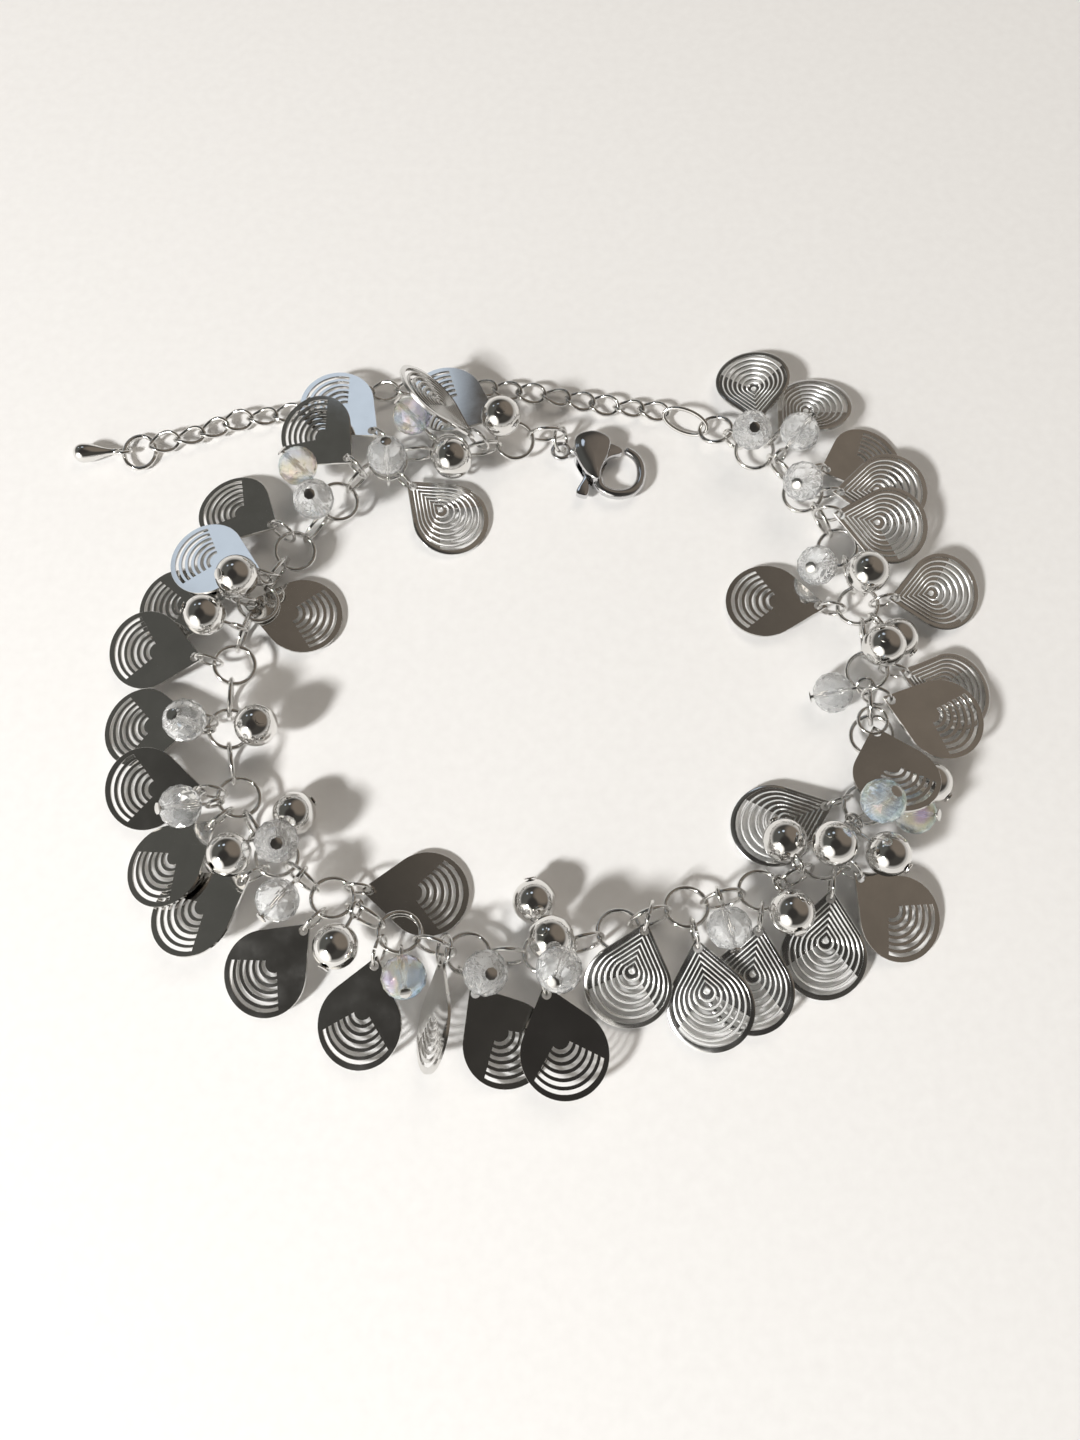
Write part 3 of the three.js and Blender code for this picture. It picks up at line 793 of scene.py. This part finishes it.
for sheet in (ridged_pattern, plain_pattern):
    eased = ease_back_edges(sheet)
    smooth(sheet, CRISP["sheet"])
    print(sheet.name, "eased edges", eased, "triangles", triangles(sheet))

# %% [markdown]
# ## Hang the teardrops
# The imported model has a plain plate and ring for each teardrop, so it says where each one is. Most of a
# plate's surface faces one way: that is its face. The point farthest from the middle of the face is its
# tip. The ring's corners are those that stand clear of the plate, and a circle is fitted to them.

# %% Measure plates and rings in the frame
CLEAR = {"above_plate": 0.28, "before_tip": 0.15}
ALIKE = 0.999  # how nearly a triangle has to face the plate's way


def corners_of(node):
    """A node's triangles, as an array of three corners each."""
    mesh = frame["nodes"][node].data
    mesh.calc_loop_triangles()
    places = np.array([v.co for v in mesh.vertices])
    return places[np.array([t.vertices for t in mesh.loop_triangles])]


def plate_place(node):
    """The plate's tip with X along it and Z out of its upper face."""
    corners = corners_of(node)
    square = np.cross(corners[:, 1] - corners[:, 0], corners[:, 2] - corners[:, 0])
    area = np.linalg.norm(square, axis=1)
    face = square[np.argmax(area)] / area.max()
    face = face if face[2] > 0 else -face
    on_face = np.abs(square @ face) > ALIKE * area
    weight = area[on_face, None]
    middle = (corners[on_face].mean(axis=1) * weight).sum(axis=0) / weight.sum()
    rim = corners[on_face].reshape(-1, 3)
    tip = rim[np.argmax(np.linalg.norm(rim - middle, axis=1))]
    tip = tip - face * ((tip - middle) @ face)
    return basis(Vector(tip), Vector(middle - tip), Vector(face))


def ring_place(points):
    """The middle of a ring with X along its longer side and Z square to it, and its two sizes in mm."""
    points = np.array(points)
    mean = points.mean(axis=0)
    _, _, axes = np.linalg.svd(points - mean)
    flat = (points - mean) @ axes[:2].T
    rows = np.column_stack([2 * flat, np.ones(len(flat))])
    fit = np.linalg.lstsq(rows, (flat**2).sum(axis=1), rcond=None)
    middle = mean + fit[0][:2] @ axes[:2]
    spans = [np.ptp((points - middle) @ axis) / MM for axis in axes[:2]]
    return basis(Vector(middle), Vector(axes[0]), Vector(axes[2])), spans


def charm_ring_place(node, plate):
    """The place of a teardrop's ring, from the corners that stand clear of the plate."""
    local = plate.inverted()
    clear = []
    for v in frame["nodes"][node].data.vertices:
        seen = local @ v.co / MM
        if abs(seen.z) > CLEAR["above_plate"] or seen.x < -CLEAR["before_tip"]:
            clear.append(v.co)
    return ring_place(clear)[0]


print("first plate mm", [round(v / MM, 2) for v in plate_place("charm_01_plain").translation])

# %% Place the teardrops
# Faces higher than this are the crests, which get the whiter steel as a painted highlight.
HIGHLIGHT_ABOVE = 0.12


def satin_highlight_crests(sheet):
    """The crests between their shoulders get the whiter satin steel, a painted highlight along each crest,
    and the grooves stay bright.
    """
    for face in sheet.data.polygons:
        if face.center.z > HIGHLIGHT_ABOVE * MM:
            face.material_index = 1


ring_pattern = wire_ring("ring_pattern", outer=3, wire=0.34, gap=5, around=26)
ring_pattern.data.materials.append(WIRE_STEEL)
ridged_pattern.data.materials.append(RIDGE_STEEL)
ridged_pattern.data.materials.append(CREST_HIGHLIGHT_STEEL)
satin_highlight_crests(ridged_pattern)
plain_pattern.data.materials.append(SHEET_STEEL)
OVER = Matrix.Rotation(math.pi, 4, "X")
RIDGED_DESPITE_NAME = ("charm_04_plain",)  # its node is named for the other face

for node in sorted(n for n in frame["nodes"] if n.startswith("charm_")):
    plate = plate_place(node)
    ridges_up = node.endswith("ridged") or node in RIDGED_DESPITE_NAME
    if ridges_up:
        sheet = copy_of(ridged_pattern, "sheet", plate)
    else:
        sheet = copy_of(plain_pattern, "sheet", plate @ OVER)
    ring = copy_of(ring_pattern, "ring", charm_ring_place(node, plate))
    piece = joined(node.replace("charm", "teardrop"), [sheet, ring])
    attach(piece, "bracelet")
    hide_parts(node)
print("teardrops", sum(n.startswith("charm_") for n in frame["nodes"]))

# %% [markdown]
# ## Rings and extension chain
# The jump rings, the end ring, the long oval link and the tail ring are single rings of wire. Each is
# measured in the frame and bent again from round wire, then pulled oval where it is longer than wide. The
# extension chain is a curb chain: each oval link is twisted along its length, so that the row lies flat. A
# twist modifier does that once, on the pattern.

# %% Single rings
RING_WIRE = {
    "clasp_jump_ring": 0.36, "end_jump_ring": 0.4, "end_ring": 0.45, "oval_link": 0.45, "tail_ring": 0.45,
}
OVAL_FROM = 0.2  # a ring this much longer than wide is an oval

for node, wire in RING_WIRE.items():
    place, (length, width) = ring_place([v.co for v in frame["nodes"][node].data.vertices])
    ring = wire_ring(f"{node}_wire", width, wire, gap=5, around=44, section=12)
    if length - width > OVAL_FROM:
        pull_oval(ring, length, width)
    ring.data.transform(place)
    ring.data.materials.append(WIRE_STEEL)
    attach(ring, "bracelet")
    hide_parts(node)
    print(node, "mm", round(length, 2), round(width, 2))

# %% The extension chain
EXTENSION_ROUTE = [
    (13.6, 31.1), (12.2, 31.6), (7.6, 32.2), (2.1, 33.3), (-3.2, 34.1), (-9.6, 34.8), (-14.9, 34.3),
    (-20.1, 33.3), (-26.3, 31.4), (-32, 30.4), (-35.6, 28.9), (-39.4, 27.8), (-40.8, 27.2),
]
CURB = {"length": 3.46, "width": 2.4, "wire": 0.42, "count": 21, "height": 0.98, "twist": 78}
SWAY = {"roll": 14, "step": 2.1}


def curb_pattern():
    ring = wire_ring("curb_pattern", CURB["width"], CURB["wire"], solder=True, around=32, section=9)
    pull_oval(ring, CURB["length"], CURB["width"])
    apply_modifier(
        ring, "SIMPLE_DEFORM", deform_method="TWIST", deform_axis="X", angle=math.radians(CURB["twist"])
    )
    smooth(ring, CRISP["wire"], WIRE_STEEL)
    return ring


def add_extension():
    """Lays the curb links end to end along the route, swaying a little from side to side."""
    line = smooth_line(EXTENSION_ROUTE)
    total = sum(np.linalg.norm(b - a) for a, b in zip(line, line[1:]))
    step = (total - CURB["length"]) / (CURB["count"] - 1)
    pattern = curb_pattern()
    parts = []
    places = walk(line, [CURB["length"] / 2 + step * k for k in range(CURB["count"])])
    for k, (point, along) in enumerate(places):
        roll = math.radians(SWAY["roll"] * math.sin(SWAY["step"] * k))
        face = Matrix.Rotation(roll, 3, along) @ UP
        place = basis(at(point.x, point.y, CURB["height"]), along, face)
        parts.append(copy_of(pattern, f"curb_{k}", place))
    bpy.data.objects.remove(pattern)
    piece = joined("extension_links", parts)
    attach(piece, "bracelet")
    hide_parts("extension_chain")
    print("extension mm", round(total, 1), "step", round(step, 2))


add_extension()

# %% [markdown]
# ## The end drop
# A small solid drop ends the extension chain. Its side view is a short row of radii along its length, and
# the spin operator turns that line round the long axis. Its eye is a ring of wire that joins the tail ring.

# %% The end drop
TAIL_DROP = {"length": 5.1, "bearing": 185, "height": 0.8, "end_radius": 1, "gap": 0.05}
TAIL_EYE = {"place": (-43.44, 26.88), "outer": 1.9, "wire": 0.4, "roll": 45}
DROP_SIDE = [
    (0.55, 0.26), (0.75, 0.34), (1, 0.3), (1.5, 0.36), (2.2, 0.56), (2.9, 0.8), (3.5, 0.95), (4.1, 1),
    (4.6, 0.87), (4.95, 0.5), (5.06, 0.2), (5.1, 0),
]


def end_drop():
    line = smooth_line(DROP_SIDE, steps=3)
    drop = closed_line("end_drop", [(along, 0, max(0, radius)) for along, radius in line])
    open_piece(drop)
    pick("EDGE", lambda e: {v.index for v in e.verts} == {0, len(line) - 1})
    bpy.ops.mesh.delete(type="EDGE")
    pick_all()
    bpy.ops.mesh.spin(steps=28, angle=2 * math.pi, center=(0, 0, 0), axis=(1, 0, 0))
    pick_all()
    bpy.ops.mesh.remove_doubles(threshold=TOUCH)
    bpy.ops.mesh.fill_holes(sides=0)
    close_piece(outward=True)
    eye = wire_ring("eye", TAIL_EYE["outer"], TAIL_EYE["wire"], around=28, section=10)
    eye.data.transform(Matrix.Rotation(math.radians(TAIL_EYE["roll"]), 4, "X"))
    whole = joined("end_drop", [drop, eye])
    fall = math.asin(
        (TAIL_DROP["height"] - TAIL_DROP["end_radius"] - TAIL_DROP["gap"])
        / (TAIL_DROP["length"] - TAIL_DROP["end_radius"])
    )
    turn = Matrix.Rotation(math.radians(TAIL_DROP["bearing"]), 4, "Z") @ Matrix.Rotation(fall, 4, "Y")
    whole.data.transform(Matrix.Translation(at(*TAIL_EYE["place"], TAIL_DROP["height"])) @ turn)
    smooth(whole, CRISP["wire"], BALL_STEEL)
    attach(whole, "bracelet")
    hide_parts("tail_drop")
    return whole


print("end drop triangles", triangles(end_drop()))

# %% [markdown]
# ## The lobster clasp
# The clasp's body is a domed shield that runs out into a round hook. A slot through the shield's side holds
# the lever, whose nose closes the hook's mouth and whose tail is the thumb piece. Flat parts start as an
# outline filled in and extruded. The shield's face is extruded inward in rings, each a little higher.

# %% Outlines about the clasp's hinge
SHIELD = [
    (-1.6, 2.4), (0.1, 2.9), (1.7, 2), (1.6, 0.5), (0.75, -1.7), (0.55, -2.7), (-0.2, -2.6), (-1.8, 0),
    (-1.95, 1.5),
]
SLOT = [
    (-0.9, 1.3), (0, 1.6), (1.2, 3.2), (4, 3.2), (4, -1.3), (1.3, -1.3), (0.75, -1.4), (0.25, -1.65),
    (-0.05, -2.6), (-0.3, -5), (-5, -5), (-5, -0.9), (-1.5, -0.1), (-1.5, 0.6),
]
HOOK = [
    (0.45, -2.3), (0.65, -3.05), (1.35, -3.7), (2.6, -4), (3.9, -3.65), (4.75, -2.6), (4.95, -1.3),
    (4.75, -0.2), (4.3, 0.5), (3.6, 1.05),
]
NOSE = [(0, 1.1), (1.6, 1.8), (3, 1.1), (2.9, 0.65), (1.7, 0.2), (0.6, -0.9)]
TAIL = [(0.5, -0.4), (2.4, -0.34), (4.3, -0.58), (4.45, 0), (4.3, 0.58), (2.4, 0.34), (0.5, 0.4)]
TAIL_BEARING = -107
CLASP = {"thick": 2.4, "wall": 0.5, "lever": 0.8, "hook": 0.95, "eye": 2.2, "eye_wire": 0.46}
EYE = (-3.3, 1.09)
HUB = {"radius": 1.15, "bore": 0.6, "pin": 0.35}
MID = CLASP["thick"] / 2


def plate_of(name, outline, low, high):
    """An outline filled in and extruded from low to high."""
    plate = closed_line(name, [(x, y, low) for x, y in outline], fill="NGON")
    open_piece(plate, everything=True)
    extrude(high - low)
    close_piece(outward=True)
    return plate


def wire_along(name, line, diameter, shares):
    """A rod along a line of points; shares give its thickness at each, as a share of the diameter."""
    data = bpy.data.curves.new(name, "CURVE")
    data.dimensions = "3D"
    data.bevel_depth = diameter / 2 * MM
    data.bevel_resolution = 4
    data.use_fill_caps = True
    spline = data.splines.new("POLY")
    spline.points.add(len(line) - 1)
    for knot, point, share in zip(spline.points, line, shares):
        knot.co = (*[v * MM for v in point], 1)
        knot.radius = share
    curve = bpy.data.objects.new(name, data)
    bpy.context.scene.collection.objects.link(curve)
    choose(curve)
    bpy.ops.object.convert(target="MESH")
    wire = bpy.context.object
    open_piece(wire, everything=True)
    bpy.ops.mesh.remove_doubles(threshold=TOUCH)
    close_piece(outward=True)
    return wire


print("clasp outlines", len(SHIELD), len(SLOT), len(HOOK))

# %% The clasp's body
DOME_MIDDLE = (-0.1 * MM, 0.7 * MM, 0)
DOME_STEPS = [(0.86, 0.1), (0.8, 0.08), (0.7, 0.05), (0.5, 0.02)]  # each: how much smaller, how far up
FEW_CORNERS = 8  # of the faces that look up, only the shield's flat top has more
ROUNDING = {"upper": 0.22, "lower": 0.15, "hub": 0.08, "arm": 0.12}
HOOK_TAPER = (1.15, 0.95)
HOOK_TIP = [(0.14, 0.86), (0.26, 0.66), (0.34, 0.4), (0.37, 0.12)]  # each: how far on, how thick
NECK = [(0, 1), (0.15, 1.15), (0.3, 1.4), (0.45, 1.7), (0.6, 2)]


def domed_shield():
    shield = plate_of("clasp_shield", smooth_line(SHIELD, closed=True, steps=6), 0, CLASP["thick"])
    top = CLASP["thick"] * MM
    open_piece(shield)
    pick("EDGE", lambda e: all(v.co.z > top - TOUCH for v in e.verts))
    bpy.ops.mesh.bevel(offset=ROUNDING["upper"] * MM, segments=3)
    pick("EDGE", lambda e: all(v.co.z < TOUCH for v in e.verts))
    bpy.ops.mesh.bevel(offset=ROUNDING["lower"] * MM, segments=2)
    pick("FACE", lambda f: f.normal.z > UPWARD and len(f.verts) > FEW_CORNERS)
    for share, rise in DOME_STEPS:
        extrude(rise, (share, share, 1), DOME_MIDDLE)
    close_piece()
    return shield


def clasp_body():
    shield = domed_shield()
    slot = plate_of("slot", SLOT, CLASP["wall"], CLASP["thick"] - CLASP["wall"])
    combine("DIFFERENCE", shield, slot)
    hook_line = smooth_line([(x, y, MID) for x, y in HOOK], steps=6)
    ahead = (hook_line[-1] - hook_line[-2]) / np.linalg.norm(hook_line[-1] - hook_line[-2])
    shares = list(np.linspace(*HOOK_TAPER, len(hook_line))) + [share for _, share in HOOK_TIP]
    hook_line += [hook_line[-1] + ahead * reach for reach, _ in HOOK_TIP]
    hook = wire_along("hook", hook_line, CLASP["hook"], shares)
    eye = wire_ring("eye", CLASP["eye"], CLASP["eye_wire"], around=36, section=12)
    eye.data.transform(Matrix.Translation(Vector((*EYE, MID)) * MM))
    neck_from = EYE[0] + CLASP["eye"] / 2 - CLASP["eye_wire"] / 2
    neck_line = [(neck_from + reach, EYE[1], MID) for reach, _ in NECK]
    neck = wire_along("neck", neck_line, CLASP["eye_wire"], [share for _, share in NECK])
    pin = rod("pin", 20, HUB["pin"], CLASP["thick"] - CLASP["wall"], (0, MID))
    combine("UNION", shield, hook, neck, eye, pin)
    return finish_clasp(shield, "clasp_body", "bracelet")


def finish_clasp(piece, node, body):
    piece.data.transform(Matrix.Translation(at(HINGE.x, HINGE.y)))
    smooth(piece, CRISP["clasp"], CLASP_STEEL)
    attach(piece, body)
    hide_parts(node)
    return piece


print("clasp body triangles", triangles(clasp_body()))

# %% The clasp's lever
def circle_points(radius):
    turns = np.linspace(0, 2 * math.pi, 32, endpoint=False)
    return [(radius * math.cos(a), radius * math.sin(a)) for a in turns]


def eased_plate(name, outline, low, high, ease):
    """A plate with its upper and lower edges rounded."""
    plate = plate_of(name, outline, low, high)
    open_piece(plate)
    pick("EDGE", lambda e: abs(e.verts[0].co.z - e.verts[1].co.z) < TOUCH)
    bpy.ops.mesh.bevel(offset=ease * MM, segments=2)
    close_piece()
    return plate


def clasp_lever():
    low, high = MID - CLASP["lever"] / 2, MID + CLASP["lever"] / 2
    hub = circle_points(HUB["radius"])
    lever = eased_plate("clasp_thumb_lever", hub, low, high, ROUNDING["hub"])
    nose = eased_plate("nose", smooth_line(NOSE, closed=True, steps=5), low, high, ROUNDING["arm"])
    tail = eased_plate("tail", smooth_line(TAIL, closed=True, steps=5), low, high, ROUNDING["arm"])
    tail.data.transform(Matrix.Rotation(math.radians(TAIL_BEARING), 4, "Z"))
    combine("UNION", lever, nose, tail)
    combine("DIFFERENCE", lever, plate_of("bore", circle_points(HUB["bore"]), 0, CLASP["thick"]))
    return finish_clasp(lever, "clasp_lever", "clasp_lever")


print("clasp lever triangles", triangles(clasp_lever()))

# %% [markdown]
# ## Table and light
# Polished steel shows its surroundings, so the surroundings make the picture: a dim room, taupe to the right
# and darkest overhead, with a light horizon, a bright side and two small windows. One key light from the
# front left throws distinct shadows to the back right, and makes the pale table bright, which the balls
# mirror round their edge.

# %% The table
TABLE = {"size": 3, "rough": 0.8, "weave": 900, "detail": 2}
TABLE_TONES = [(0, (0.80, 0.79, 0.78)), (1, (0.86, 0.855, 0.845))]


def add_table():
    deselect()
    bpy.ops.mesh.primitive_plane_add(size=TABLE["size"])
    table = fresh("table")
    material, nodes, surface = new_material("pale_table")
    cloudy_tint(nodes, surface, TABLE["weave"], TABLE["detail"], TABLE_TONES)
    set_inputs(surface, Roughness=TABLE["rough"])
    table.data.materials.append(material)


add_table()
print("table size m", TABLE["size"])

# %% The room around
# Each patch: the middle of its direction, how wide it is to its soft edge and to its full colour in degrees.
WALLS = (0.060, 0.056, 0.050)
PATCHES = [
    ("left wall", (-0.75, 0.20, 0.50), 46, 24, (0.105, 0.104, 0.095)),
    ("right wall", (0.55, 0.35, 0.62), 52, 27, (0.205, 0.172, 0.140)),
    ("overhead", (-0.20, -0.30, 1.00), 34, 12, (0.040, 0.037, 0.034)),
    ("horizon", (0.00, 0.00, -1.00), 112, 94, (0.58, 0.56, 0.53)),
    ("bright side", (-0.62, -0.68, 0.28), 34, 18, (1.50, 1.45, 1.36)),
    ("far window", (-0.56, 0.52, 0.65), 4.5, 2.5, (0.75, 0.86, 1.00)),
    ("back window", (-0.22, 0.60, 0.77), 6.5, 4, (0.75, 0.86, 1.00)),
]


def cosine(degrees):
    return math.cos(math.radians(degrees))


def add_room():
    """The world's colour by direction: dim walls, taupe to the right, dark overhead, and pale windows."""
    world = bpy.data.worlds.new("room")
    bpy.context.scene.world = world
    world.use_nodes = True
    nodes = world.node_tree.nodes
    where = add_node(nodes, "TexCoord")
    before = None
    for name, direction, edge, full, paint in PATCHES:
        facing = add_node(nodes, "VectorMath")
        facing.label = name
        facing.operation = "DOT_PRODUCT"
        facing.inputs[1].default_value = Vector(direction).normalized()
        feed(where, "Generated", facing, 0)
        share = add_node(nodes, "MapRange", From_Min=cosine(edge), From_Max=cosine(full))
        share.interpolation_type = "SMOOTHSTEP"
        feed(facing, "Value", share, "Value")
        mix = add_node(nodes, "Mix")
        mix.data_type = "RGBA"
        set_inputs(mix, A=(*WALLS, 1), B=(*paint, 1))
        if before:
            feed(before, "Result", mix, "A")
        feed(share, "Result", mix, "Factor")
        before = mix
    feed(before, "Result", nodes["Background"], "Color")
    set_inputs(nodes["Background"], Strength=1)


add_room()
print("room patches", len(PATCHES))

# %% The lights
LIGHTS = [  # name, bearing, elevation, distance, size, power, colour, whether the steel mirrors it
    ("key", 221, 38, 0.6, 0.07, 4.1, (1, 0.995, 0.985), True),
    ("fill", 60, 55, 0.8, 0.5, 1.6, (1, 0.93, 0.84), False),
]


def add_area_light(name, bearing, elevation, distance, size, power, colour, mirrored):
    """A square soft light that faces the origin; distance and size in metres."""
    data = bpy.data.lights.new(name, "AREA")
    data.size = size
    data.energy = power
    data.color = colour
    light = bpy.data.objects.new(name, data)
    across, up = math.radians(bearing), math.radians(elevation)
    flat = math.cos(up)
    toward = Vector((flat * math.cos(across), flat * math.sin(across), math.sin(up)))
    light.location = toward * distance
    light.rotation_euler = toward.to_track_quat("Z", "Y").to_euler()
    light.visible_glossy = mirrored
    bpy.context.scene.collection.objects.link(light)


for row in LIGHTS:
    add_area_light(*row)
bpy.context.scene.view_settings.view_transform = "Standard"

# %% [markdown]
# ## Close
# The patterns have been copied and go.

# %% Clear up
for pattern in (link_pattern, pin_pattern, ball_pattern, crystal_pattern, ridged_pattern, plain_pattern,
                ring_pattern):
    bpy.data.objects.remove(pattern)
